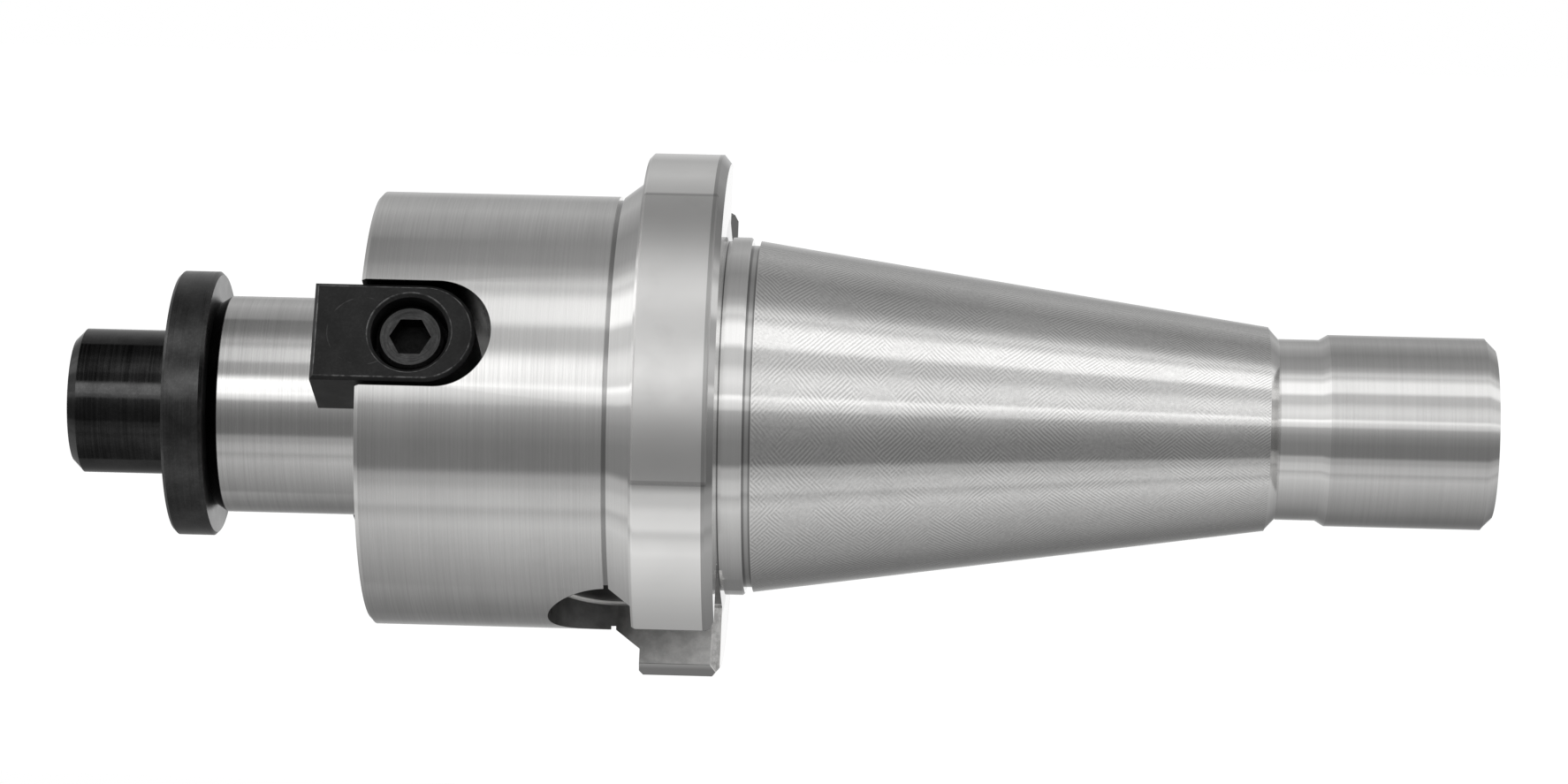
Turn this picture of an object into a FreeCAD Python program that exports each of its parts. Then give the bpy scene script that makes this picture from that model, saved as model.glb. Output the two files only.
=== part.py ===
"""Shell mill arbor with a steep spindle taper.

Frame: millimetres, origin on the axis at the gauge plane of the taper, +X along the
axis towards the drawbar end, +Z up.  The two front drive keys face +Z and -Z, the two
slots for the spindle's keys face +Y and -Y.  Axial sizes are counted from the gauge plane.
"""
import FreeCAD, Part
import math
import os
import re

import Sketcher

DIMENSIONS = {
    # spindle taper, collar and rear end
    "gauge_dia": 44.45,
    "taper_numerator": 7.0,
    "taper_denominator": 24.0,
    "taper_end": 65.4,
    "taper_end_chamfer": 1.3,
    "taper_start": 2.35,
    "collar_dia": 44.6,
    "collar_end": 1.35,
    "collar_chamfer": 0.25,
    "runout_dia": 42.6,
    "neck_dia": 22.5,
    "neck_end": 71.7,
    "neck_chamfer": 1.1,
    "rear_pilot_dia": 23.8,
    "shank_length": 93.4,
    "shank_chamfer": 1.3,
    "drawbar_bore_dia": 14.0,
    "drawbar_bore_depth": 32.0,
    "drawbar_lead": 1.6,
    # drive flange
    "flange_gap": 1.6,
    "flange_thickness": 10.0,
    "flange_dia": 65.0,
    "flange_front_chamfer": 0.5,
    "flange_rear_chamfer": 0.9,
    "flange_rear_bevel": 1.1,
    "flange_relief_width": 0.5,
    "flange_relief_depth": 0.5,
    "cone_height": 2.3,
    # body and cutter pilot
    "projection": 45.0,
    "body_dia": 54.0,
    "body_chamfer": 0.5,
    "body_end": 15.25,
    "body_groove_width": 0.6,
    "body_groove_depth": 0.45,
    "pilot_dia": 27.0,
    "pilot_length": 20.0,
    "pilot_lead": 1.4,
    "pilot_lead_depth": 0.9,
    "front_bore_depth": 28.0,
    "front_bore_lead": 1.0,
    "drill_point": 0.3,
    # slots for the spindle's keys
    "drive_slot_width": 16.1,
    "drive_slot_floor": 22.2,
    "drive_slot_length": 20.9,
    "drive_slot_bevel": 1.4,
    "drive_slot_rear_bevel": 1.1,
    # front drive keys and their slots
    "key_width": 12.4,
    "key_length": 19.6,
    "key_nose": 5.5,
    "key_seat": 16.0,
    "key_top": 26.3,
    "key_chamfer": 0.5,
    "key_side_gap": 0.6,
    "key_end_gap": 2.0,
    # screws of the keys
    "key_screw_dia": 5.0,
    "key_screw_position": 11.7,
    "key_screw_head_dia": 8.2,
    "key_screw_head_height": 5.0,
    "key_screw_head_chamfer": 0.45,
    "key_screw_socket": 4.4,
    "key_screw_socket_depth": 2.5,
    "key_screw_length": 12.0,
    "key_screw_recess": 1.5,
    "key_counterbore_dia": 9.4,
    "key_hole_dia": 5.6,
    "key_tap_spare": 0.6,
    # retaining disc
    "disc_dia": 33.0,
    "disc_thickness": 5.0,
    "disc_chamfer": 0.4,
    "disc_hole_dia": 12.6,
    # retaining screw
    "screw_dia": 12.0,
    "screw_head_dia": 18.0,
    "screw_head_height": 13.0,
    "screw_head_chamfer": 1.2,
    "screw_length": 30.0,
    "screw_tip_chamfer": 1.2,
    "screw_socket": 10.0,
    "screw_socket_depth": 7.0,
    "socket_lead": 0.5,
    # running clearance of screw threads, on the radius
    "thread_clearance": 0.05,
}

doc = FreeCAD.newDocument("ShellMillArbor")
sheet = doc.addObject("Spreadsheet::Sheet", "Dimensions")
for row, (alias, value) in enumerate(DIMENSIONS.items(), start=1):
    sheet.set(f"A{row}", alias)
    sheet.set(f"B{row}", str(value))
    sheet.setAlias(f"B{row}", alias)
doc.recompute()


def linked(expression):
    """Expression with every dimension name pointing at the sheet."""
    return re.sub(
        r"[a-z_]+",
        lambda word: f"Dimensions.{word[0]}" if word[0] in DIMENSIONS else word[0],
        expression,
    )


def origin_feature(body, role):
    for feature in body.Origin.OriginFeatures:
        if feature.Role == role:
            return feature
    raise RuntimeError(f"no {role} in {body.Label}")


def new_body(label):
    body = doc.addObject("PartDesign::Body", label)
    body.Label = label
    return body


def new_sketch(body, name, plane, offset=None):
    """Sketch on an origin plane, moved along the plane's normal by an expression."""
    sketch = body.newObject("Sketcher::SketchObject", name)
    sketch.AttachmentSupport = [(origin_feature(body, plane), "")]
    sketch.MapMode = "FlatFace"
    if offset is not None:
        sketch.setExpression("AttachmentOffset.Base.z", linked(offset))
    return sketch


def place_vertex(sketch, geometry, point, across, up):
    """Ties one vertex to the sketch origin with two expressions."""
    for kind, value in (("DistanceX", across), ("DistanceY", up)):
        if value == "0":
            on_axis = -2 if kind == "DistanceX" else -1
            sketch.addConstraint(Sketcher.Constraint("PointOnObject", geometry, point, on_axis))
            continue
        at = sketch.addConstraint(Sketcher.Constraint(kind, -1, 1, geometry, point, 1.0))
        sketch.setExpression(f"Constraints[{at}]", linked(value))


def polygon(sketch, points):
    """Closed polygon whose every vertex is fixed by expressions."""
    count = len(points)
    for index in range(count):
        following = (index + 1) % count
        start = FreeCAD.Vector(index + 1, index + 1, 0)
        end = FreeCAD.Vector(following + 1, following + 1, 0)
        sketch.addGeometry(Part.LineSegment(start, end), False)
    for index in range(count):
        sketch.addConstraint(
            Sketcher.Constraint("Coincident", index, 2, (index + 1) % count, 1)
        )
    for index, (across, up) in enumerate(points):
        place_vertex(sketch, index, 1, across, up)


def turned(body, name, points, kind="PartDesign::Revolution"):
    """Revolves a closed half profile about the arbor's axis."""
    sketch = new_sketch(body, f"{name}Profile", "XY_Plane")
    polygon(sketch, points)
    feature = body.newObject(kind, name)
    feature.Profile = sketch
    feature.ReferenceAxis = (sketch, ["H_Axis"])
    feature.Angle = 360
    sketch.Visibility = False
    doc.recompute()
    return feature


def round_ended(sketch, open_end, centre, half_width, opens_left):
    """Slot outline: square at open_end, a half circle about centre at the other end."""
    side = 1 if opens_left else -1
    low_open = FreeCAD.Vector(-10 * side, -2, 0)
    high_open = FreeCAD.Vector(-10 * side, 2, 0)
    low_end = FreeCAD.Vector(0, -2, 0)
    high_end = FreeCAD.Vector(0, 2, 0)
    circle = Part.Circle(FreeCAD.Vector(0, 0, 0), FreeCAD.Vector(0, 0, 1), 2)
    first = -math.pi / 2 if opens_left else math.pi / 2
    sketch.addGeometry(Part.LineSegment(low_open, low_end), False)
    sketch.addGeometry(Part.ArcOfCircle(circle, first, first + math.pi), False)
    sketch.addGeometry(Part.LineSegment(high_end, high_open), False)
    sketch.addGeometry(Part.LineSegment(high_open, low_open), False)
    arc_low, arc_high = (1, 2) if opens_left else (2, 1)
    sketch.addConstraint(Sketcher.Constraint("Tangent", 0, 2, 1, arc_low))
    sketch.addConstraint(Sketcher.Constraint("Tangent", 1, arc_high, 2, 1))
    sketch.addConstraint(Sketcher.Constraint("Coincident", 2, 2, 3, 1))
    sketch.addConstraint(Sketcher.Constraint("Coincident", 3, 2, 0, 1))
    sketch.addConstraint(Sketcher.Constraint("Horizontal", 0))
    sketch.addConstraint(Sketcher.Constraint("Horizontal", 2))
    sketch.addConstraint(Sketcher.Constraint("Vertical", 3))
    sketch.addConstraint(Sketcher.Constraint("PointOnObject", 1, 3, -1))
    radius = sketch.addConstraint(Sketcher.Constraint("Radius", 1, 2.0))
    sketch.setExpression(f"Constraints[{radius}]", linked(half_width))
    middle = sketch.addConstraint(Sketcher.Constraint("DistanceX", -1, 1, 1, 3, 0.5))
    sketch.setExpression(f"Constraints[{middle}]", linked(centre))
    square = sketch.addConstraint(
        Sketcher.Constraint("DistanceX", -1, 1, 0, 1, -10.0 * side)
    )
    sketch.setExpression(f"Constraints[{square}]", linked(open_end))


def hexagon(sketch, across_flats, corners_up=True):
    """Regular hexagon about the sketch origin, two corners on its upright or flat axis."""
    corner = f"{across_flats} / sqrt(3)"
    half = f"{across_flats} / 2"
    rise = f"{across_flats} / (2 * sqrt(3))"
    points = [
        ("0", corner),
        (half, rise),
        (half, f"-1 * {rise}"),
        ("0", f"-1 * {corner}"),
        (f"-1 * {half}", f"-1 * {rise}"),
        (f"-1 * {half}", rise),
    ]
    if not corners_up:
        points = [(up, across) for across, up in points]
    polygon(sketch, points)


def twice(body, name, feature):
    """Repeats a cut on the opposite side of the arbor's axis."""
    pattern = body.newObject("PartDesign::PolarPattern", name)
    pattern.Originals = [feature]
    pattern.Axis = (origin_feature(body, "X_Axis"), [""])
    pattern.Angle = 360
    pattern.Occurrences = 2
    body.Tip = pattern
    doc.recompute()
    return pattern


def removed(feature, before):
    """Stops if a cut took nothing away."""
    doc.recompute()
    if not feature.Shape.Volume < before:
        raise RuntimeError(f"{feature.Label} cuts nothing")
    return feature.Shape.Volume


# Arbor body
SHOULDER = "-1 * projection"
PILOT_FACE = "-1 * projection - pilot_length"
GROOVE_END = "-1 * body_end + body_groove_width"
FLANGE_FRONT = "-1 * flange_gap - flange_thickness"
FLANGE_REAR = "-1 * flange_gap"
SLOPE = "taper_numerator / taper_denominator"

arbor = new_body("arbor_body")
blank = turned(
    arbor,
    "Blank",
    [
        (PILOT_FACE, "0"),
        (PILOT_FACE, "pilot_dia / 2 - pilot_lead_depth"),
        (f"{PILOT_FACE} + pilot_lead", "pilot_dia / 2"),
        (SHOULDER, "pilot_dia / 2"),
        (SHOULDER, "body_dia / 2 - body_chamfer"),
        (f"{SHOULDER} + body_chamfer", "body_dia / 2"),
        ("-1 * body_end", "body_dia / 2"),
        ("-1 * body_end", "body_dia / 2 - body_groove_depth"),
        (GROOVE_END, "body_dia / 2 - body_groove_depth"),
        (GROOVE_END, "body_dia / 2"),
        (FLANGE_FRONT, "body_dia / 2 + cone_height"),
        (FLANGE_FRONT, "flange_dia / 2 - flange_front_chamfer"),
        (f"{FLANGE_FRONT} + flange_front_chamfer", "flange_dia / 2"),
        (f"{FLANGE_REAR} - flange_rear_chamfer", "flange_dia / 2"),
        (FLANGE_REAR, "flange_dia / 2 - flange_rear_bevel"),
        (FLANGE_REAR, "collar_dia / 2 - flange_relief_depth"),
        (f"{FLANGE_REAR} + flange_relief_width", "collar_dia / 2 - flange_relief_depth"),
        (f"{FLANGE_REAR} + flange_relief_width", "collar_dia / 2"),
        ("collar_end - collar_chamfer", "collar_dia / 2"),
        ("collar_end", "collar_dia / 2 - collar_chamfer"),
        ("collar_end", "runout_dia / 2"),
        ("taper_start", "runout_dia / 2"),
        ("taper_start", f"(gauge_dia - taper_start * {SLOPE}) / 2"),
        ("taper_end", f"(gauge_dia - taper_end * {SLOPE}) / 2"),
        ("taper_end + taper_end_chamfer", "neck_dia / 2"),
        ("neck_end", "neck_dia / 2"),
        ("neck_end + neck_chamfer", "rear_pilot_dia / 2"),
        ("shank_length - shank_chamfer", "rear_pilot_dia / 2"),
        ("shank_length", "rear_pilot_dia / 2 - shank_chamfer"),
        ("shank_length", "0"),
    ],
)
volume = blank.Shape.Volume

THREAD_RADIUS = "(screw_dia / 2 + thread_clearance)"
front_bore = turned(
    arbor,
    "FrontBore",
    [
        (PILOT_FACE, "0"),
        (PILOT_FACE, f"{THREAD_RADIUS} + front_bore_lead"),
        (f"{PILOT_FACE} + front_bore_lead", THREAD_RADIUS),
        (f"{PILOT_FACE} + front_bore_depth", THREAD_RADIUS),
        (f"{PILOT_FACE} + front_bore_depth + screw_dia * drill_point", "0"),
    ],
    "PartDesign::Groove",
)
volume = removed(front_bore, volume)

rear_bore = turned(
    arbor,
    "DrawbarBore",
    [
        ("shank_length", "0"),
        ("shank_length", "drawbar_bore_dia / 2 + drawbar_lead"),
        ("shank_length - drawbar_lead", "drawbar_bore_dia / 2"),
        ("shank_length - drawbar_bore_depth", "drawbar_bore_dia / 2"),
        ("shank_length - drawbar_bore_depth - drawbar_bore_dia * drill_point", "0"),
    ],
    "PartDesign::Groove",
)
volume = removed(rear_bore, volume)

# end-milled slots for the spindle's keys: through the flange and on into the body
slot_sketch = new_sketch(arbor, "DriveSlotOutline", "XZ_Plane", "drive_slot_floor")
round_ended(
    slot_sketch,
    "flange_dia / 2",
    "-1 * flange_gap - drive_slot_length + drive_slot_width / 2",
    "drive_slot_width / 2",
    False,
)
drive_slot = arbor.newObject("PartDesign::Pocket", "DriveSlot")
drive_slot.Profile = slot_sketch
drive_slot.Reversed = True
drive_slot.setExpression("Length", linked("flange_dia / 2"))
volume = removed(drive_slot, volume)
volume = removed(twice(arbor, "DriveSlots", drive_slot), volume)

# bevels where the slots' walls meet the rim of the flange
HALF_SLOT = "drive_slot_width / 2"
BEVEL_INNER = "(sqrt(flange_dia ^ 2 / 4 - drive_slot_width ^ 2 / 4) - drive_slot_bevel)"
BEVEL_OUTER = f"({BEVEL_INNER} + 2 * drive_slot_bevel)"
HALF_MOUTH = f"({HALF_SLOT} + 2 * drive_slot_bevel)"
bevel_sketch = new_sketch(arbor, "SlotBevelOutline", "YZ_Plane", FLANGE_REAR)
polygon(
    bevel_sketch,
    [
        (f"-1 * {BEVEL_INNER}", HALF_SLOT),
        (f"-1 * {BEVEL_OUTER}", HALF_MOUTH),
        (f"-1 * {BEVEL_OUTER}", f"-1 * {HALF_MOUTH}"),
        (f"-1 * {BEVEL_INNER}", f"-1 * {HALF_SLOT}"),
    ],
)
slot_bevel = arbor.newObject("PartDesign::Pocket", "SlotBevel")
slot_bevel.Profile = bevel_sketch
slot_bevel.setExpression("Length", linked("flange_thickness"))
volume = removed(slot_bevel, volume)
volume = removed(twice(arbor, "SlotBevels", slot_bevel), volume)

# bevels where the slots' walls meet the rear face of the flange
REAR_MOUTH = f"({HALF_SLOT} + 2 * drive_slot_rear_bevel)"
rear_sketch = new_sketch(arbor, "RearBevelOutline", "XZ_Plane", "drive_slot_floor")
polygon(
    rear_sketch,
    [
        (f"{FLANGE_REAR} - drive_slot_rear_bevel", HALF_SLOT),
        (f"{FLANGE_REAR} + drive_slot_rear_bevel", REAR_MOUTH),
        (f"{FLANGE_REAR} + drive_slot_rear_bevel", f"-1 * {REAR_MOUTH}"),
        (f"{FLANGE_REAR} - drive_slot_rear_bevel", f"-1 * {HALF_SLOT}"),
    ],
)
rear_bevel = arbor.newObject("PartDesign::Pocket", "RearBevel")
rear_bevel.Profile = rear_sketch
rear_bevel.Reversed = True
rear_bevel.setExpression("Length", linked("flange_dia / 2"))
volume = removed(rear_bevel, volume)
volume = removed(twice(arbor, "RearBevels", rear_bevel), volume)

# seats of the front drive keys, open at the shoulder
seat_sketch = new_sketch(arbor, "KeySeatOutline", "XY_Plane", "key_seat")
round_ended(
    seat_sketch,
    f"{SHOULDER} - key_nose",
    f"{SHOULDER} - key_nose + key_length + key_end_gap - key_width / 2 - key_side_gap",
    "key_width / 2 + key_side_gap",
    True,
)
key_seat = arbor.newObject("PartDesign::Pocket", "KeySeat")
key_seat.Profile = seat_sketch
key_seat.Reversed = True
key_seat.setExpression("Length", linked("body_dia / 2"))
volume = removed(key_seat, volume)
volume = removed(twice(arbor, "KeySeats", key_seat), volume)

# tapped holes under the keys
SCREW_STATION = f"{SHOULDER} - key_nose + key_screw_position"
HEAD_TOP = "key_top - key_screw_recess"
HEAD_BASE = f"{HEAD_TOP} - key_screw_head_height"
SCREW_TIP = f"({HEAD_BASE} - key_screw_length)"
tap_sketch = new_sketch(arbor, "KeyTapOutline", "XY_Plane", "key_seat")
tap_sketch.addGeometry(Part.Circle(FreeCAD.Vector(1, 0, 0), FreeCAD.Vector(0, 0, 1), 1), False)
tap_sketch.addConstraint(Sketcher.Constraint("PointOnObject", 0, 3, -1))
tap_at = tap_sketch.addConstraint(Sketcher.Constraint("DistanceX", -1, 1, 0, 3, 1.0))
tap_sketch.setExpression(f"Constraints[{tap_at}]", linked(SCREW_STATION))
tap_radius = tap_sketch.addConstraint(Sketcher.Constraint("Radius", 0, 1.0))
tap_sketch.setExpression(
    f"Constraints[{tap_radius}]", linked("key_screw_dia / 2 + thread_clearance")
)
key_tap = arbor.newObject("PartDesign::Pocket", "KeyTap")
key_tap.Profile = tap_sketch
key_tap.setExpression("Length", linked(f"key_seat - {SCREW_TIP} + key_tap_spare"))
volume = removed(key_tap, volume)
volume = removed(twice(arbor, "KeyTaps", key_tap), volume)


# Drive keys
def highest_face(shape):
    """Name of the face that lies highest along Z."""
    heights = [face.BoundBox.ZMin for face in shape.Faces]
    return f"Face{heights.index(max(heights)) + 1}"


def build_key(label):
    body = new_body(label)
    outline = new_sketch(body, "KeyOutline", "XY_Plane", "key_seat")
    round_ended(
        outline,
        f"{SHOULDER} - key_nose",
        f"{SHOULDER} - key_nose + key_length - key_width / 2",
        "key_width / 2",
        True,
    )
    block = body.newObject("PartDesign::Pad", "KeyBlock")
    block.Profile = outline
    block.setExpression("Length", linked("key_top - key_seat"))
    doc.recompute()
    solid = block.Shape.Volume

    hole_sketch = new_sketch(body, "ScrewHoleProfile", "XZ_Plane")
    polygon(
        hole_sketch,
        [
            (SCREW_STATION, "key_seat"),
            (f"{SCREW_STATION} + key_hole_dia / 2", "key_seat"),
            (f"{SCREW_STATION} + key_hole_dia / 2", HEAD_BASE),
            (f"{SCREW_STATION} + key_counterbore_dia / 2", HEAD_BASE),
            (f"{SCREW_STATION} + key_counterbore_dia / 2", "key_top"),
            (SCREW_STATION, "key_top"),
        ],
    )
    hole = body.newObject("PartDesign::Groove", "ScrewHole")
    hole.Profile = hole_sketch
    hole.ReferenceAxis = (hole_sketch, ["Edge6"])
    hole.Angle = 360
    removed(hole, solid)

    bevel = body.newObject("PartDesign::Chamfer", "TopBevel")
    bevel.Base = (hole, [highest_face(hole.Shape)])
    bevel.setExpression("Size", linked("key_chamfer"))
    body.Tip = bevel
    doc.recompute()
    return body


def build_key_screw(label):
    body = new_body(label)
    profile = new_sketch(body, "ScrewProfile", "XZ_Plane")
    polygon(
        profile,
        [
            (SCREW_STATION, SCREW_TIP),
            (f"{SCREW_STATION} + key_screw_dia / 2", SCREW_TIP),
            (f"{SCREW_STATION} + key_screw_dia / 2", HEAD_BASE),
            (f"{SCREW_STATION} + key_screw_head_dia / 2", HEAD_BASE),
            (
                f"{SCREW_STATION} + key_screw_head_dia / 2",
                f"{HEAD_TOP} - key_screw_head_chamfer",
            ),
            (
                f"{SCREW_STATION} + key_screw_head_dia / 2 - key_screw_head_chamfer",
                HEAD_TOP,
            ),
            (SCREW_STATION, HEAD_TOP),
        ],
    )
    turning = body.newObject("PartDesign::Revolution", "ScrewTurning")
    turning.Profile = profile
    turning.ReferenceAxis = (profile, ["Edge7"])
    turning.Angle = 360
    doc.recompute()
    solid = turning.Shape.Volume

    socket_sketch = new_sketch(body, "SocketOutline", "XY_Plane", HEAD_TOP)
    socket_sketch.setExpression("AttachmentOffset.Base.x", linked(SCREW_STATION))
    hexagon(socket_sketch, "key_screw_socket", corners_up=False)
    socket = body.newObject("PartDesign::Pocket", "HexSocket")
    socket.Profile = socket_sketch
    socket.setExpression("Length", linked("key_screw_socket_depth"))
    removed(socket, solid)
    return body


HALF_TURN = FreeCAD.Placement(
    FreeCAD.Vector(0, 0, 0), FreeCAD.Rotation(FreeCAD.Vector(1, 0, 0), 180)
)
upper_key = build_key("drive_key_upper")
lower_key = build_key("drive_key_lower")
lower_key.Placement = HALF_TURN
upper_screw = build_key_screw("key_screw_upper")
lower_screw = build_key_screw("key_screw_lower")
lower_screw.Placement = HALF_TURN

# Retaining disc
DISC_REAR = PILOT_FACE
DISC_FRONT = f"{PILOT_FACE} - disc_thickness"
disc = new_body("retaining_disc")
turned(
    disc,
    "DiscTurning",
    [
        (DISC_FRONT, "disc_hole_dia / 2"),
        (DISC_FRONT, "disc_dia / 2 - disc_chamfer"),
        (f"{DISC_FRONT} + disc_chamfer", "disc_dia / 2"),
        (f"{DISC_REAR} - disc_chamfer", "disc_dia / 2"),
        (DISC_REAR, "disc_dia / 2 - disc_chamfer"),
        (DISC_REAR, "disc_hole_dia / 2"),
    ],
)

# Retaining screw
SCREW_FACE = f"{DISC_FRONT} - screw_head_height"
SCREW_POINT = f"{DISC_FRONT} + screw_length"
screw = new_body("retaining_screw")
screw_turning = turned(
    screw,
    "ScrewTurning",
    [
        (SCREW_FACE, "0"),
        (SCREW_FACE, "screw_head_dia / 2 - screw_head_chamfer"),
        (f"{SCREW_FACE} + screw_head_chamfer", "screw_head_dia / 2"),
        (DISC_FRONT, "screw_head_dia / 2"),
        (DISC_FRONT, "screw_dia / 2"),
        (f"{SCREW_POINT} - screw_tip_chamfer", "screw_dia / 2"),
        (SCREW_POINT, "screw_dia / 2 - screw_tip_chamfer"),
        (SCREW_POINT, "0"),
    ],
)
volume = screw_turning.Shape.Volume
socket_sketch = new_sketch(screw, "SocketOutline", "YZ_Plane", SCREW_FACE)
hexagon(socket_sketch, "screw_socket")
hex_socket = screw.newObject("PartDesign::Pocket", "HexSocket")
hex_socket.Profile = socket_sketch
hex_socket.Reversed = True
hex_socket.setExpression("Length", linked("screw_socket_depth"))
volume = removed(hex_socket, volume)

SOCKET_BOTTOM = f"{SCREW_FACE} + screw_socket_depth"
socket_point = turned(
    screw,
    "SocketDrillPoint",
    [
        (SCREW_FACE, "0"),
        (SCREW_FACE, "screw_socket / sqrt(3) + socket_lead / 2"),
        (f"{SCREW_FACE} + socket_lead", "screw_socket / 2"),
        (SOCKET_BOTTOM, "screw_socket / 2"),
        (f"{SOCKET_BOTTOM} + screw_socket * drill_point", "0"),
    ],
    "PartDesign::Groove",
)
volume = removed(socket_point, volume)

# Check and export
doc.recompute()
for item in doc.Objects:
    if "Invalid" in item.State or "Error" in item.State:
        raise RuntimeError(f"{item.Label} failed: {item.State}")

pieces = [item for item in doc.Objects if item.TypeId == "PartDesign::Body"]
for piece in pieces:
    shape = piece.Shape
    if shape.isNull() or not shape.isValid() or len(shape.Solids) != 1:
        raise RuntimeError(f"{piece.Label} is not one valid solid")
    if not math.isfinite(shape.Volume) or shape.Volume <= 0:
        raise RuntimeError(f"{piece.Label} has no volume")

os.makedirs("parts", exist_ok=True)
for piece in pieces:
    piece.Shape.exportStep(f"parts/{piece.Label}.step")
    box = piece.Shape.BoundBox
    print(
        f"{piece.Label}: {piece.Shape.Volume / 1000:.3f} cm3,"
        f" x {box.XMin:.2f}..{box.XMax:.2f},"
        f" y {box.YMin:.2f}..{box.YMax:.2f}, z {box.ZMin:.2f}..{box.ZMax:.2f}"
    )
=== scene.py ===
"""Looks of the shell mill arbor: camera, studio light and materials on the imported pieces."""
import math

import bmesh
import bpy
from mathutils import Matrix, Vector


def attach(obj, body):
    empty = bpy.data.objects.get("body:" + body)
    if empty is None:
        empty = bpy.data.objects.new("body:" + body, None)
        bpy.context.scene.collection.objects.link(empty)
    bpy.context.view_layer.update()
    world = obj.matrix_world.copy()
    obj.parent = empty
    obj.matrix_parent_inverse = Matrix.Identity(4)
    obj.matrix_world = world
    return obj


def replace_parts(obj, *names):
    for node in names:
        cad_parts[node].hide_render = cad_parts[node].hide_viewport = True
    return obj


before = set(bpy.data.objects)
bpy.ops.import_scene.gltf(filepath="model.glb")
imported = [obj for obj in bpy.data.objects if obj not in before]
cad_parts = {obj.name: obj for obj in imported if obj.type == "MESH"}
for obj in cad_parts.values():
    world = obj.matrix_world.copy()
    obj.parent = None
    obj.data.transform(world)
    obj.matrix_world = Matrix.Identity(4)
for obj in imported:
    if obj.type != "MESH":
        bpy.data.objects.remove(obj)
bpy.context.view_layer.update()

MM = 0.001

# The viewer looks down at the arbor from 20.3 degrees in front of straight above
TILT = math.radians(20.3)
TOWARDS_VIEWER = Vector((0, -math.sin(TILT), math.cos(TILT)))
PICTURE_UP = Vector((0, math.cos(TILT), math.sin(TILT)))


# Share of red, green and blue in a tone
NEUTRAL = (1.0, 1.0, 1.0)
STEEL_WARMTH = (1.0, 0.994, 0.982)


def grey(level):
    return (level, level, level, 1.0)


class Nodes:
    """Small wrapper that adds linked shader nodes to one tree."""

    def __init__(self, tree):
        self.tree = tree

    def add(self, kind, **settings):
        node = self.tree.nodes.new(kind)
        for name, value in settings.items():
            setattr(node, name, value)
        return node

    def link(self, source, target):
        self.tree.links.new(source, target)

    def feed(self, socket, value):
        if isinstance(value, bpy.types.NodeSocket):
            self.link(value, socket)
        else:
            socket.default_value = value

    def math(self, operation, first, second=0.0, third=0.0):
        node = self.add("ShaderNodeMath", operation=operation)
        for socket, value in zip(node.inputs, (first, second, third)):
            self.feed(socket, value)
        return node.outputs[0]

    def sum(self, *values):
        total = values[0]
        for value in values[1:]:
            total = self.math("ADD", total, value)
        return total

    def product(self, *values):
        total = values[0]
        for value in values[1:]:
            total = self.math("MULTIPLY", total, value)
        return total

    def highest(self, *values):
        total = values[0]
        for value in values[1:]:
            total = self.math("MAXIMUM", total, value)
        return total

    def size(self, *values):
        """Length of a vector given by its parts."""
        return self.math("SQRT", self.sum(*(self.product(v, v) for v in values)))

    def vector(self, operation, first, second):
        node = self.add("ShaderNodeVectorMath", operation=operation)
        self.feed(node.inputs[0], first)
        self.feed(node.inputs[1], second)
        return node.outputs["Value" if operation == "DOT_PRODUCT" else "Vector"]

    def split(self, vector):
        node = self.add("ShaderNodeSeparateXYZ")
        self.link(vector, node.inputs[0])
        return node.outputs[0], node.outputs[1], node.outputs[2]

    def smooth(self, value, low, high, to_low=0.0, to_high=1.0):
        """Smooth step of a value from low to high."""
        node = self.add("ShaderNodeMapRange", interpolation_type="SMOOTHSTEP")
        for socket, number in zip(node.inputs, (value, low, high, to_low, to_high)):
            self.feed(socket, number)
        return node.outputs[0]

    def between(self, value, low, high, soft):
        """1 from low to high, falling to 0 over the soft distance outside."""
        return self.product(
            self.smooth(value, low - soft, low), self.smooth(value, high + soft, high)
        )

    def mix(self, factor, first, second):
        node = self.add("ShaderNodeMix", data_type="FLOAT")
        for number, value in ((0, factor), (2, first), (3, second)):
            self.feed(node.inputs[number], value)
        return node.outputs[0]

    def noise(self, coordinates, scale, detail=3.0, roughness=0.55):
        node = self.add("ShaderNodeTexNoise")
        self.feed(node.inputs["Vector"], coordinates)
        node.inputs["Scale"].default_value = scale
        node.inputs["Detail"].default_value = detail
        node.inputs["Roughness"].default_value = roughness
        return node.outputs["Fac"]

    def rings(self, coordinates, along, across, detail=3.0, roughness=0.55):
        """Noise squeezed along the axis into rings round it."""
        squeezed = self.vector("MULTIPLY", coordinates, (along, across, across))
        return self.noise(squeezed, 1.0, detail, roughness)

    def ramp(self, value, stops):
        node = self.add("ShaderNodeValToRGB")
        self.feed(node.inputs[0], value)
        elements = node.color_ramp.elements
        while len(elements) > 1:
            elements.remove(elements[-1])
        elements[0].position = stops[0][0]
        elements[0].color = grey(stops[0][1])
        for position, level in stops[1:]:
            elements.new(position).color = grey(level)
        return node.outputs["Color"]

    def darken(self, tone, mask, share):
        """Tone that loses a share of itself inside a mask."""
        return self.product(tone, self.math("SUBTRACT", 1.0, self.product(mask, share)))

    def tint(self, tone, warmth=NEUTRAL):
        """Colour of one tone with a slight tint."""
        node = self.add("ShaderNodeCombineColor")
        for socket, share in zip(node.inputs, warmth):
            self.feed(socket, self.product(tone, share))
        return node.outputs[0]

    def bump(self, height, distance):
        node = self.add("ShaderNodeBump")
        node.inputs["Strength"].default_value = 1.0
        node.inputs["Distance"].default_value = distance
        self.link(height, node.inputs["Height"])
        return node.outputs[0]


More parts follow.
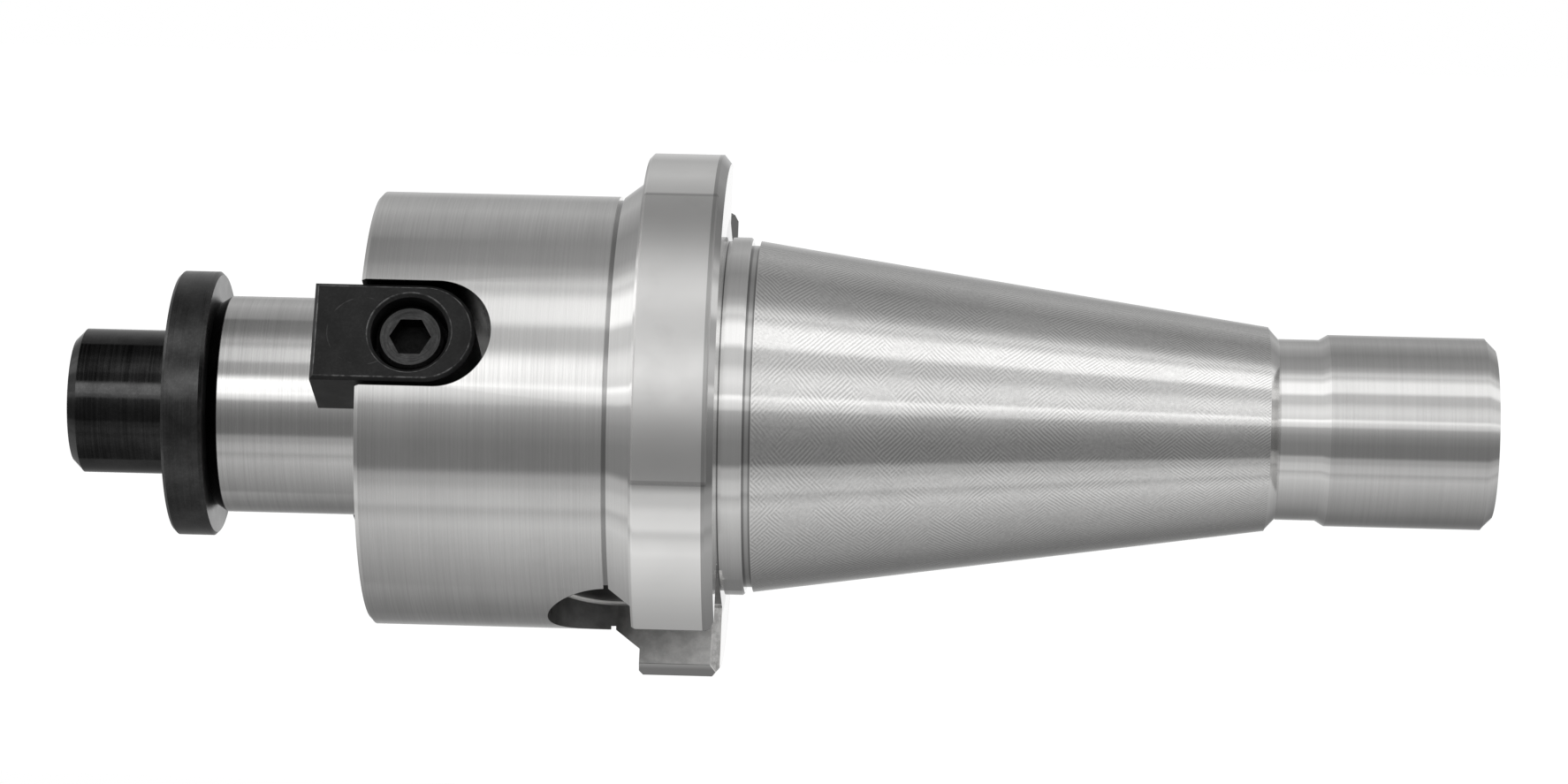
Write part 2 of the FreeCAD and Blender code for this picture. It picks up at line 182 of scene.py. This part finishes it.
def new_material(name):
    material = bpy.data.materials.new(name)
    material.use_nodes = True
    tree = material.node_tree
    tree.nodes.clear()
    nodes = Nodes(tree)
    shader = nodes.add("ShaderNodeBsdfPrincipled")
    output = nodes.add("ShaderNodeOutputMaterial")
    nodes.link(shader.outputs[0], output.inputs["Surface"])
    return material, nodes, shader


def dress(node, material):
    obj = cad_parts[node]
    obj.data.materials.clear()
    obj.data.materials.append(material)


def turned_shine(n, shader, amount):
    """Highlights drawn out across marks that run round the axis."""
    tangent = n.add("ShaderNodeTangent", direction_type="RADIAL", axis="X")
    n.link(tangent.outputs[0], shader.inputs["Tangent"])
    shader.inputs["Anisotropic"].default_value = amount
    shader.inputs["Anisotropic Rotation"].default_value = 0.25


# Stations along the axis of the arbor body, in metres from the gauge plane
BODY_END = -15.25 * MM
FLANGE_FRONT = -11.6 * MM
FLANGE_REAR = -1.6 * MM
COLLAR_END = 1.35 * MM
TAPER_START = 2.35 * MM
TAPER_END = 65.4 * MM
SHANK_START = 72.7 * MM
SHANK_END = 93.4 * MM
# Slots for the spindle's keys: floor and half width off the axis, and centre of the round end
SLOT_FLOOR = 22.2 * MM
SLOT_HALF = 8.05 * MM
SLOT_END_CENTRE = -14.45 * MM
# Their bevels: |y| - |z| on the rim's, which start at this depth, and |z| - x on the rear's
RIM_BEVEL = (21.95 * MM, 22.13 * MM)
RIM_BEVEL_DEPTH = 30.0 * MM
REAR_BEVEL = (10.70 * MM, 10.80 * MM)
# Seats of the drive keys, given in the same way
SEAT_FLOOR = 16.0 * MM
SEAT_HALF = 6.8 * MM
SEAT_END_CENTRE = -35.7 * MM
# Rim of the flange, and how far its satin field reaches to each side, in degrees
RIM_RADIUS = 32.35 * MM
FIELD_HALF = 35.0
# Lead of the pilot, which carries a painted shadow and reflection of the black disc: where it
# ends along the axis, and its least radius
LEAD_END = -63.6 * MM
LEAD_RADIUS = 11.7 * MM
# Thread of the drawbar
DRAWBAR_CORE = 7.0 * MM
DRAWBAR_PITCH = 2.0 * MM
DRAWBAR_THREAD_END = 62.0 * MM
# Grain of the taper: distance between lines along the axis, and lines round it per radian
GRAIN_PITCH = 0.60 * MM
GRAIN_SLANT = 200


def turning_streaks(n, place):
    """Marks left by the tools round the axis, from broad to hair-fine."""
    return n.sum(
        n.product(n.rings(place, 700, 14, 3), 0.22),
        n.product(n.rings(place, 3600, 45, 4, 0.65), 0.53),
        n.product(n.rings(place, 9000, 90, 2, 0.6), 0.25),
    )


def taper_grain(n, place, along, angle):
    """Grind of the taper, which crosses itself at a slant, in patches."""
    waver = n.product(n.noise(place, 420, 2, 0.5), 5.0)
    lay = n.math("MULTIPLY_ADD", along, 2 * math.pi / GRAIN_PITCH, waver)
    slant = n.product(angle, GRAIN_SLANT)
    first = n.math("SINE", n.math("ADD", lay, slant))
    second = n.math("SINE", n.math("SUBTRACT", lay, slant))
    patch = n.smooth(n.noise(place, 260, 2, 0.5), 0.40, 0.60)
    elsewhere = n.vector("ADD", place, (0.3, 0.1, 0.2))
    worn = n.smooth(n.noise(elsewhere, 170, 3, 0.6), 0.35, 0.60)
    lines = n.product(n.mix(patch, first, second), worn)
    hatch = n.math("MULTIPLY_ADD", lines, 0.5, 0.5)
    return n.sum(n.product(hatch, 0.5), n.product(n.noise(place, 2400, 3, 0.75), 0.5))


def painted_shade_in_grooves(n, tone, along, radius):
    """Painted shade in the body's groove, the flange's relief and the collar's run-out."""
    groove = n.product(
        n.between(along, BODY_END + 0.05 * MM, BODY_END + 0.55 * MM, 0.05 * MM),
        n.between(radius, 26.3 * MM, 26.92 * MM, 0.05 * MM),
    )
    relief = n.product(
        n.between(along, FLANGE_REAR - 0.05 * MM, FLANGE_REAR + 0.06 * MM, 0.04 * MM),
        n.between(radius, 21.5 * MM, 24.5 * MM, 0.5 * MM),
    )
    off_middle = n.math("SUBTRACT", along, (COLLAR_END + TAPER_START) / 2)
    runout = n.product(
        n.between(along, COLLAR_END + 0.01 * MM, TAPER_START - 0.01 * MM, 0.05 * MM),
        n.between(radius, 21.0 * MM, 21.6 * MM, 0.1 * MM),
        n.smooth(n.math("ABSOLUTE", off_middle), 0.15 * MM, 0.35 * MM, 1.0, 2.2),
    )
    for mask, share in ((groove, 0.5), (relief, 0.75), (runout, 0.30)):
        tone = n.darken(tone, mask, share)
    return tone


def ground_steel():
    """Hardened steel: fine turned body, ground taper and pilot, polished flange."""
    material, n, shader = new_material("ground_steel")
    place = n.add("ShaderNodeTexCoord").outputs["Object"]
    along, across, height = n.split(place)
    radius = n.size(across, height)
    angle = n.math("ARCTAN2", across, height)

    streaks = turning_streaks(n, place)
    grain = taper_grain(n, place, along, angle)
    clouds = n.noise(place, 55, 3)
    smudges = n.noise(place, 190, 4, 0.6)

    on_taper = n.between(along, TAPER_START + 0.15 * MM, TAPER_END - 0.1 * MM, 0.15 * MM)
    on_flange = n.between(along, BODY_END + 0.65 * MM, TAPER_START - 0.05 * MM, 0.1 * MM)
    on_neck = n.between(along, TAPER_END + 0.1 * MM, SHANK_START, 0.1 * MM)
    on_shank = n.smooth(along, SHANK_START, SHANK_START + 0.2 * MM)
    polished = n.highest(on_flange, on_neck)
    # satin field on the flange's rim, with a fine line at each end
    turn = n.math("DEGREES", n.math("ABSOLUTE", angle))
    on_rim = n.product(n.smooth(radius, RIM_RADIUS - 0.15 * MM, RIM_RADIUS), on_flange)
    field = n.product(on_rim, n.smooth(turn, FIELD_HALF + 0.2, FIELD_HALF - 0.2))
    field_edge = n.product(on_rim, n.between(turn, FIELD_HALF - 0.4, FIELD_HALF + 0.3, 0.3))

    tone = n.smooth(streaks, 0.32, 0.68, 0.595, 0.70)
    tone = n.mix(on_taper, tone, n.smooth(grain, 0.25, 0.75, 0.475, 0.725))
    tone = n.mix(on_shank, tone, n.smooth(streaks, 0.3, 0.7, 0.52, 0.58))
    tone = n.mix(polished, tone, n.smooth(streaks, 0.3, 0.7, 0.62, 0.67))
    tone = n.mix(on_rim, tone, n.mix(field, 0.84, 0.66))
    rear_chamfer = n.product(
        n.between(along, FLANGE_REAR - 1.3 * MM, FLANGE_REAR - 0.02 * MM, 0.05 * MM),
        n.smooth(radius, 31.0 * MM, 31.2 * MM),
        n.smooth(n.math("ADD", radius, along), 30.2 * MM, 30.0 * MM),
    )
    tone = n.mix(rear_chamfer, tone, 0.40)
    tone = n.product(
        tone,
        n.smooth(clouds, 0.25, 0.75, 0.96, 1.03),
        n.smooth(smudges, 0.55, 0.8, 1.0, 0.95),
    )

    # painted shade in the grooves, at the flange's relief and at the collar's run-out
    tone = painted_shade_in_grooves(n, tone, along, radius)
    tone = n.darken(tone, field_edge, 0.25)

    # milled slots for the spindle's keys get painted shade, darker towards their round end and
    # on the floor, and a painted highlight along their inner corner
    depth = n.math("ABSOLUTE", across)
    past_end = n.math("MINIMUM", n.math("SUBTRACT", along, SLOT_END_CENTRE), 0.0)
    wall = n.size(past_end, height)
    in_slot = n.product(
        n.smooth(wall, SLOT_HALF + 0.07 * MM, SLOT_HALF + 0.02 * MM),
        n.smooth(depth, SLOT_FLOOR - 0.15 * MM, SLOT_FLOOR - 0.05 * MM),
        n.smooth(along, FLANGE_REAR + 0.4 * MM, FLANGE_REAR),
    )
    corner_painted_highlight = n.product(
        in_slot,
        n.smooth(depth, SLOT_FLOOR + 0.45 * MM, SLOT_FLOOR + 0.3 * MM),
        n.smooth(wall, SLOT_HALF - 0.5 * MM, SLOT_HALF - 0.35 * MM),
    )
    deep = n.smooth(along, FLANGE_FRONT + 1 * MM, FLANGE_FRONT - 5 * MM)
    on_floor = n.smooth(depth, SLOT_FLOOR + 0.1 * MM, SLOT_FLOOR + 0.02 * MM)
    slot_painted_shade = n.product(
        n.mix(deep, 0.80, 0.17),
        n.mix(on_floor, 1.0, 0.35),
        n.smooth(n.noise(place, 600, 4, 0.65), 0.3, 0.75, 0.8, 1.1),
    )
    # painted shade inside the slots, then a painted highlight along their inner corner
    tone = n.mix(in_slot, tone, slot_painted_shade)
    tone = n.mix(corner_painted_highlight, tone, 0.85)

    # bevels along the slots' rims are darker, most of all beyond RIM_BEVEL_DEPTH; the back
    # slot's rear bevels carry painted shade and the front slot's a painted highlight with
    # scratch marks
    lean = n.math("SUBTRACT", depth, n.math("ABSOLUTE", height))
    on_bevel = n.product(
        n.between(lean, *RIM_BEVEL, 0.04 * MM),
        n.smooth(depth, RIM_BEVEL_DEPTH - 0.1 * MM, RIM_BEVEL_DEPTH),
        on_flange,
    )
    outer = n.smooth(depth, RIM_BEVEL_DEPTH + 0.1 * MM, RIM_BEVEL_DEPTH + 0.6 * MM)
    tone = n.mix(on_bevel, tone, n.mix(outer, 0.42, 0.27))
    slope = n.math("SUBTRACT", n.math("ABSOLUTE", height), along)
    on_rear_bevel = n.product(
        n.between(slope, *REAR_BEVEL, 0.04 * MM),
        n.smooth(depth, SLOT_FLOOR - 0.1 * MM, SLOT_FLOOR),
        n.smooth(along, FLANGE_REAR - 1.2 * MM, FLANGE_REAR - 1.1 * MM),
    )
    scratches_and_painted_light = n.smooth(n.noise(place, 900, 3, 0.6), 0.4, 0.6, 0.72, 0.92)
    on_shaded_back = n.math("GREATER_THAN", across, 0.0)
    # painted shade on the back slot's rear bevels, and a painted highlight with scratch marks on
    # the front slot's
    tone = n.mix(on_rear_bevel, tone, n.mix(on_shaded_back, scratches_and_painted_light, 0.12))

    # the seats round the drive keys get painted shade too
    past_seat = n.math("MAXIMUM", n.math("SUBTRACT", along, SEAT_END_CENTRE), 0.0)
    seat_wall = n.size(past_seat, across)
    in_seat = n.product(
        n.smooth(seat_wall, SEAT_HALF + 0.06 * MM, SEAT_HALF + 0.02 * MM),
        n.smooth(n.math("ABSOLUTE", height), SEAT_FLOOR - 0.2 * MM, SEAT_FLOOR - 0.1 * MM),
    )
    tone = n.darken(tone, in_seat, 0.72)

    # the pilot's lead is painted black as the disc's shadow and reflection
    lead_painted_shadow = n.product(
        n.smooth(along, LEAD_END + 0.15 * MM, LEAD_END),
        n.smooth(radius, LEAD_RADIUS - 0.2 * MM, LEAD_RADIUS),
    )
    tone = n.mix(lead_painted_shadow, tone, 0.02)

    # bores: rough drilled metal
    in_bore = n.product(
        n.smooth(radius, 9.0 * MM, 8.7 * MM),
        n.smooth(along, SHANK_END - 0.1 * MM, SHANK_END - 0.6 * MM),
    )
    tone = n.darken(tone, in_bore, 0.4)

    # thread of the drawbar, a right-handed helix in the bore's wall, with painted shade in its
    # roots and painted light on its crests
    in_thread = n.product(
        n.smooth(radius, DRAWBAR_CORE + 0.15 * MM, DRAWBAR_CORE + 0.05 * MM),
        n.smooth(along, DRAWBAR_THREAD_END, DRAWBAR_THREAD_END + 0.5 * MM),
    )
    helix = n.math("MULTIPLY_ADD", along, 2 * math.pi / DRAWBAR_PITCH, angle)
    thread_height_and_painted_shade = n.smooth(n.math("SINE", helix), -0.7, 0.5)
    tone = n.mix(in_thread, tone, n.mix(thread_height_and_painted_shade, 0.16, 0.80))

    n.link(n.tint(tone, STEEL_WARMTH), shader.inputs["Base Color"])
    shader.inputs["Metallic"].default_value = 1.0

    rough = n.smooth(streaks, 0.3, 0.7, 0.13, 0.18)
    rough = n.mix(on_taper, rough, n.smooth(grain, 0.25, 0.75, 0.10, 0.17))
    rough = n.mix(on_shank, rough, n.smooth(streaks, 0.3, 0.7, 0.11, 0.15))
    rough = n.mix(polished, rough, n.smooth(smudges, 0.3, 0.7, 0.07, 0.10))
    rough = n.mix(field, rough, n.smooth(smudges, 0.3, 0.7, 0.44, 0.50))
    rough = n.mix(n.highest(in_slot, on_bevel), rough, 0.42)
    rough = n.mix(in_bore, rough, 0.45)
    n.link(rough, shader.inputs["Roughness"])
    turned_shine(n, shader, 0.8)

    marks = n.mix(on_taper, n.product(streaks, 0.7), n.product(grain, 0.6))
    marks = n.mix(polished, marks, n.product(streaks, 0.25))
    marks = n.mix(in_thread, marks, n.product(thread_height_and_painted_shade, 40.0))
    n.link(n.bump(marks, 0.003 * MM), shader.inputs["Normal"])
    return material


# Black pieces, in metres: height of the drive keys' tops, station of the keys' screws and of
# the scuffed ring along the axis, and front face of the retaining screw
KEY_TOP = 26.3 * MM
KEY_SCREW_STATION = -38.8 * MM
SCUFF_CENTRE = -44.4 * MM
SCUFF_RADIUS = 4.3 * MM
SCREW_FACE = -83.0 * MM
# A face leans as a bevel does where its normal has this share of the axis
BEVEL_LEAN = (0.62, 0.80)


def black_key():
    """Blackened key: oily black, with a painted highlight as a thin bright line along the bevels
    at its top.
    """
    material, n, shader = new_material("blackened_key")
    place = n.add("ShaderNodeTexCoord").outputs["Object"]
    along, across, height = n.split(place)
    _, _, facing = n.split(n.add("ShaderNodeNewGeometry").outputs["True Normal"])

    mottle = n.noise(place, 300, 4, 0.6)
    specks = n.noise(place, 2600, 3, 0.7)
    tone = n.product(
        0.0085,
        n.smooth(mottle, 0.3, 0.7, 0.7, 1.3),
        n.smooth(specks, 0.35, 0.75, 0.85, 1.6),
    )
    level = n.math("ABSOLUTE", height)
    on_bevel = n.between(n.math("ABSOLUTE", facing), *BEVEL_LEAN, 0.04)
    # painted highlight along the bevels near the top, broken up by noise
    painted_edge_highlight = n.product(
        on_bevel,
        n.smooth(level, KEY_TOP - 0.20 * MM, KEY_TOP - 0.06 * MM),
        n.smooth(n.noise(place, 750, 4, 0.7), 0.40, 0.66, 0.15, 1.0),
    )
    tone = n.sum(tone, n.product(painted_edge_highlight, 0.16))

    # ring scuffed into the top by a cutter's hub
    ring = n.size(n.math("SUBTRACT", along, SCUFF_CENTRE), across)
    scuff = n.product(
        n.smooth(level, KEY_TOP - 0.1 * MM, KEY_TOP - 0.02 * MM),
        n.between(ring, SCUFF_RADIUS - 0.02 * MM, SCUFF_RADIUS + 0.04 * MM, 0.06 * MM),
        n.smooth(n.noise(place, 420, 3, 0.6), 0.46, 0.62),
    )
    tone = n.sum(tone, n.product(scuff, 0.03))

    n.link(n.tint(tone), shader.inputs["Base Color"])
    shader.inputs["IOR"].default_value = 1.32
    n.link(n.smooth(mottle, 0.3, 0.7, 0.34, 0.46), shader.inputs["Roughness"])
    n.link(n.bump(specks, 0.006 * MM), shader.inputs["Normal"])
    return material


def black_turned(name, lathe_axis, level, roughness, marks, worn, bevel_share):
    """Blackened turned steel with fine marks round its own axis.

    level is the tone, marks how much its fine lines stand out, worn how much painted highlight
    the bevels get, and bevel_share the share of their tone that the bevels keep under painted
    shade.
    """
    material, n, shader = new_material(name)
    place = n.add("ShaderNodeTexCoord").outputs["Object"]
    along, across, height = n.split(place)
    facing = n.split(n.add("ShaderNodeNewGeometry").outputs["True Normal"])
    if lathe_axis == "X":
        lines = n.rings(place, 4200, 60, 4, 0.7)
        radius = n.size(across, height)
        facing = facing[0]
        # the hex socket in the screw's front face gets painted shade
        socket = n.product(
            n.smooth(radius, 5.9 * MM, 5.7 * MM),
            n.smooth(along, SCREW_FACE + 0.3 * MM, SCREW_FACE + 0.7 * MM),
        )
        turned_shine(n, shader, 0.6)
    else:
        off_axis = n.math("SUBTRACT", along, KEY_SCREW_STATION)
        radius = n.size(off_axis, across)
        facing = facing[2]
        turn = n.math("ARCTAN2", across, off_axis)
        polar = n.add("ShaderNodeCombineXYZ")
        n.feed(polar.inputs[0], n.product(radius, 5000))
        n.feed(polar.inputs[1], n.product(n.math("SINE", turn), 1.5))
        n.feed(polar.inputs[2], n.product(n.math("COSINE", turn), 1.5))
        lines = n.noise(polar.outputs[0], 1.0, 4, 0.7)
        # the hex socket in the key screw's head gets painted shade
        socket = n.product(
            n.smooth(radius, 2.62 * MM, 2.5 * MM),
            n.smooth(n.math("ABSOLUTE", height), KEY_TOP - 1.55 * MM, KEY_TOP - 1.65 * MM),
        )
    mottle = n.noise(place, 320, 4, 0.6)
    specks = n.noise(place, 3000, 2, 0.6)
    tone = n.product(
        level,
        n.smooth(mottle, 0.3, 0.7, 0.8, 1.2),
        n.smooth(lines, 0.3, 0.7, 1.0 - marks, 1.0 + marks),
        n.smooth(specks, 0.4, 0.8, 0.95, 1.2),
        n.mix(socket, 1.0, 0.15),
    )
    on_bevel = n.between(n.math("ABSOLUTE", facing), *BEVEL_LEAN, 0.04)
    # bevels darkened by bevel_share as painted shade, then given a painted highlight broken up
    # by noise
    tone = n.product(tone, n.mix(on_bevel, 1.0, bevel_share))
    painted_edge_highlight = n.product(on_bevel, n.smooth(n.noise(place, 800, 4, 0.7), 0.42, 0.66, 0.1, 1.0))
    tone = n.sum(tone, n.product(painted_edge_highlight, level * worn))
    n.link(n.tint(tone), shader.inputs["Base Color"])
    shader.inputs["Metallic"].default_value = 1.0
    n.link(
        n.smooth(lines, 0.3, 0.7, roughness - 0.04, roughness + 0.05),
        shader.inputs["Roughness"],
    )
    relief = n.sum(lines, n.product(specks, 0.4))
    n.link(n.bump(relief, 0.0012 * MM), shader.inputs["Normal"])
    return material


steel = ground_steel()
key_black = black_key()
disc_black = black_turned("blackened_disc", "X", 0.064, 0.30, 0.08, 0.3, 0.7)
screw_black = black_turned("blackened_screw", "X", 0.050, 0.11, 0.05, 0.1, 0.4)
key_screw_black = black_turned("blackened_key_screw", "Z", 0.06, 0.34, 0.3, 0.8, 1.0)
for node, material in (
    ("arbor_body", steel),
    ("drive_key_upper", key_black),
    ("drive_key_lower", key_black),
    ("retaining_disc", disc_black),
    ("key_screw_upper", key_screw_black),
    ("key_screw_lower", key_screw_black),
):
    dress(node, material)


# Retaining screw, in metres: head from the CAD, with a cut thread in place of the plain shank.
# Edges sharper than SHARP_ANGLE degrees stay sharp, and points nearer than HAIR are level.
HEAD_BASE = -70.0 * MM
THREAD_START = -64.2 * MM
SCREW_POINT = -40.0 * MM
POINT_CHAMFER = 1.2 * MM
THREAD_CREST = 5.98 * MM
THREAD_ROOT = 5.00 * MM
THREAD_PITCH = 1.75 * MM
# Points of one turn's form: share of the pitch, and 1 on the crest or 0 at the root
THREAD_FORM = ((0.0, 1.0), (0.125, 1.0), (0.4375, 0.0), (0.6875, 0.0))
THREAD_RUNOUT = 1.2 * MM
SEGMENTS = 72
SHARP_ANGLE = 25
HAIR = 0.01 * MM


def thread_radius(x, share):
    """Radius of the screw's surface at x, where share is 1 on the crest and 0 at the root."""
    cut = min(max((x - THREAD_START) / THREAD_RUNOUT, 0.0), 1.0)
    radius = THREAD_CREST - cut * (1.0 - share) * (THREAD_CREST - THREAD_ROOT)
    return min(radius, THREAD_CREST - POINT_CHAMFER + (SCREW_POINT - x))


def screw_thread():
    """Threaded shank whose rows of faces follow the right-handed helix."""
    form = len(THREAD_FORM)
    turns = math.ceil((SCREW_POINT - HEAD_BASE) / THREAD_PITCH) + 1
    mesh = bmesh.new()
    columns = []
    for j in range(SEGMENTS):
        angle = 2 * math.pi * j / SEGMENTS
        column = []
        for i in range(turns * form):
            position, share = THREAD_FORM[i % form]
            x = HEAD_BASE + THREAD_PITCH * (i // form + position + j / SEGMENTS - 1.0)
            x = min(max(x, HEAD_BASE), SCREW_POINT)
            radius = thread_radius(x, share)
            column.append(
                mesh.verts.new((x, radius * math.cos(angle), radius * math.sin(angle)))
            )
        columns.append(column)
    for j in range(SEGMENTS):
        following = columns[(j + 1) % SEGMENTS]
        shift = form if j == SEGMENTS - 1 else 0
        for i in range(turns * form - 1 - shift):
            mesh.faces.new(
                (
                    columns[j][i + shift],
                    columns[j][i + shift + 1],
                    following[i + 1],
                    following[i],
                )
            )
    bmesh.ops.remove_doubles(mesh, verts=mesh.verts, dist=0.002 * MM)
    bmesh.ops.dissolve_degenerate(mesh, dist=0.001 * MM, edges=mesh.edges)
    rim = [
        edge
        for edge in mesh.edges
        if edge.is_boundary and all(v.co.x > SCREW_POINT - HAIR for v in edge.verts)
    ]
    bmesh.ops.edgeloop_fill(mesh, edges=rim)
    bmesh.ops.recalc_face_normals(mesh, faces=mesh.faces)
    return mesh


def screw_head():
    """Head of the CAD screw, without its shank."""
    mesh = bmesh.new()
    mesh.from_mesh(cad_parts["retaining_screw"].data)
    shank = [face for face in mesh.faces if any(v.co.x > HEAD_BASE + HAIR for v in face.verts)]
    bmesh.ops.delete(mesh, geom=shank, context="FACES")
    return mesh


def screw_piece(name, made, shade):
    """Piece of the screw, with smooth shading between its sharp edges where shade is true."""
    data = bpy.data.meshes.new(name)
    made.to_mesh(data)
    made.free()
    if shade:
        data.polygons.foreach_set("use_smooth", [True] * len(data.polygons))
        data.set_sharp_from_angle(angle=math.radians(SHARP_ANGLE))
    data.materials.append(screw_black)
    piece = bpy.data.objects.new(name, data)
    bpy.context.scene.collection.objects.link(piece)
    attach(piece, "screw")
    return piece


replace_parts(screw_piece("retaining_screw_head", screw_head(), False), "retaining_screw")
screw_piece("retaining_screw_thread", screw_thread(), True)

# Light round the arbor's axis, in degrees from the viewer's side: below and above in the picture
STUDIO_BELOW = (
    (-180, 0.60),
    (-165, 0.42),
    (-152, 0.27),
    (-138, 0.24),
    (-126, 0.28),
    (-110, 0.39),
    (-90, 0.53),
    (-74, 0.69),
    (-66, 0.78),
    (-63, 0.84),
    (-58, 0.76),
    (-54, 0.62),
    (-51, 0.82),
    (-43, 0.76),
    (-40, 0.62),
    (-34.5, 0.58),
    (-31.5, 0.28),
    (-17, 0.29),
    (-7, 0.38),
    (0, 0.53),
)
STUDIO_ABOVE = (
    (0, 0.53),
    (3, 0.62),
    (4.5, 1.00),
    (9.5, 1.22),
    (11, 1.62),
    (12.5, 1.56),
    (14, 1.03),
    (22, 1.19),
    (28, 1.12),
    (34, 0.84),
    (43.5, 0.86),
    (48, 1.52),
    (60, 1.50),
    (64, 1.12),
    (67, 0.92),
    (70, 1.06),
    (73, 0.94),
    (77, 0.66),
    (84, 0.46),
    (104, 0.37),
    (120, 0.48),
    (130, 0.56),
    (150, 0.46),
    (165, 0.60),
)
# Three of the lights, each from one angle to another, with a soft edge
UPPER_LIGHT = (32, 100)
LOWER_LIGHT = (-105, 3)
NARROW_LIGHT = (15, 25)
LIGHT_EDGE = 4
# They run along the arbor, by the sideways part of a direction: the upper one ends beside
# the pilot and the lower one beside the disc, and both are back beyond FAR_LEFT. The narrow
# one is strongest at the screw.
UPPER_ENDS = (-0.160, -0.122)
REST_ENDS = (-0.158, -0.147)
PAST_THE_END = 0.30
FAR_LEFT = (-0.25, -0.45)
NARROW_AT_BODY = (-0.035, -0.08, 0.0, 0.04)
NARROW_AT_SCREW = (-0.160, -0.172, 0.0, 1.4)


def part_of_turn(degrees):
    """Place of an angle from -180 to 180 degrees on a ramp from 0 to 1."""
    return (degrees + 180) / 360


def studio_world():
    """Soft lights round the arbor, and plain white where the camera looks past it."""
    world = bpy.data.worlds.new("studio")
    world.use_nodes = True
    tree = world.node_tree
    tree.nodes.clear()
    n = Nodes(tree)
    direction = n.add("ShaderNodeTexCoord").outputs["Generated"]
    up = n.vector("DOT_PRODUCT", direction, tuple(PICTURE_UP))
    near = n.vector("DOT_PRODUCT", direction, tuple(TOWARDS_VIEWER))
    # angle of the surface that reflects this direction to the viewer, so that cylinders,
    # cones and chamfers carry the same bands
    half = n.math("ARCTAN2", up, n.math("ADD", near, 1.0))
    turn = n.math("ADD", n.math("DIVIDE", half, math.pi), 0.5)
    strongest = max(level for _, level in STUDIO_BELOW + STUDIO_ABOVE)
    below, above = (
        n.ramp(turn, [(part_of_turn(a), level / strongest) for a, level in stops])
        for stops in (STUDIO_BELOW, STUDIO_ABOVE)
    )
    band = n.add("ShaderNodeMix", data_type="RGBA")
    n.link(n.math("GREATER_THAN", half, 0.0), band.inputs[0])
    n.link(below, band.inputs[6])
    n.link(above, band.inputs[7])
    sideways = n.split(direction)[0]
    far_left = n.smooth(sideways, *FAR_LEFT)
    upper_fade = n.highest(n.smooth(sideways, *UPPER_ENDS, PAST_THE_END, 1.0), far_left)
    rest_fade = n.highest(n.smooth(sideways, *REST_ENDS, PAST_THE_END, 1.0), far_left)
    in_upper, in_lower, in_narrow = (
        n.between(turn, part_of_turn(low), part_of_turn(high), LIGHT_EDGE / 360)
        for low, high in (UPPER_LIGHT, LOWER_LIGHT, NARROW_LIGHT)
    )
    gain = n.sum(
        1.0, n.smooth(sideways, *NARROW_AT_BODY), n.smooth(sideways, *NARROW_AT_SCREW)
    )
    gain = n.mix(far_left, gain, 1.0)
    strength = n.product(
        n.mix(in_upper, 1.0, n.product(upper_fade, rest_fade)),
        n.mix(in_lower, 1.0, rest_fade),
        n.mix(in_narrow, 1.0, gain),
        strongest,
    )
    seen = n.add("ShaderNodeLightPath").outputs["Is Camera Ray"]
    lamp = n.add("ShaderNodeBackground")
    n.link(band.outputs[2], lamp.inputs["Color"])
    n.link(strength, lamp.inputs["Strength"])
    white = n.add("ShaderNodeBackground")
    white.inputs["Color"].default_value = grey(1.0)
    white.inputs["Strength"].default_value = 1.0
    choice = n.add("ShaderNodeMixShader")
    n.link(seen, choice.inputs[0])
    n.link(lamp.outputs[0], choice.inputs[1])
    n.link(white.outputs[0], choice.inputs[2])
    output = n.add("ShaderNodeOutputWorld")
    n.link(choice.outputs[0], output.inputs["Surface"])
    bpy.context.scene.world = world


studio_world()


# Floor, in metres, and the light that it shows to camera, mirror and glass rays
FLOOR_HALF_SIZE = (0.30, 0.09)
FLOOR_CENTRE = (0, 0.185, -0.5)
FLOOR_GLOW = 1.1
FLOOR_GLOW_SHARE = 0.85


def pale_floor():
    """Plain pale floor, well below the arbor, which is held by its taper."""
    mesh = bpy.data.meshes.new("floor")
    long, wide = FLOOR_HALF_SIZE
    mesh.from_pydata(
        [(-long, -wide, 0), (long, -wide, 0), (long, wide, 0), (-long, wide, 0)],
        [],
        [(0, 1, 2, 3)],
    )
    floor = bpy.data.objects.new("floor", mesh)
    floor.location = FLOOR_CENTRE
    bpy.context.scene.collection.objects.link(floor)
    material, n, shader = new_material("pale_floor")
    shader.inputs["Base Color"].default_value = grey(0.9)
    shader.inputs["Roughness"].default_value = 0.7
    path = n.add("ShaderNodeLightPath")
    seen = n.highest(
        path.outputs["Is Camera Ray"],
        path.outputs["Is Glossy Ray"],
        path.outputs["Is Transmission Ray"],
    )
    glow = n.add("ShaderNodeEmission")
    glow.inputs["Color"].default_value = grey(1.0)
    glow.inputs["Strength"].default_value = FLOOR_GLOW
    choice = n.add("ShaderNodeMixShader")
    n.link(n.product(seen, FLOOR_GLOW_SHARE), choice.inputs[0])
    n.link(shader.outputs[0], choice.inputs[1])
    n.link(glow.outputs[0], choice.inputs[2])
    output = next(node for node in n.tree.nodes if node.type == "OUTPUT_MATERIAL")
    n.link(choice.outputs[0], output.inputs["Surface"])
    mesh.materials.append(material)


pale_floor()

# Camera at the photograph's viewing angle: metres and degrees
CAMERA_PLACE = (0.02925, -0.21607, 0.58409)
CAMERA_TURN = (20.645, 1.552, 2.078)

camera = bpy.data.objects.new("camera", bpy.data.cameras.new("camera"))
bpy.context.scene.collection.objects.link(camera)
camera.location = CAMERA_PLACE
camera.rotation_euler = [math.radians(turn) for turn in CAMERA_TURN]
camera.data.sensor_width = 36.0
camera.data.lens = 114.77
camera.data.clip_start = 0.01
camera.data.clip_end = 20.0
bpy.context.scene.camera = camera
bpy.context.scene.view_settings.view_transform = "Standard"
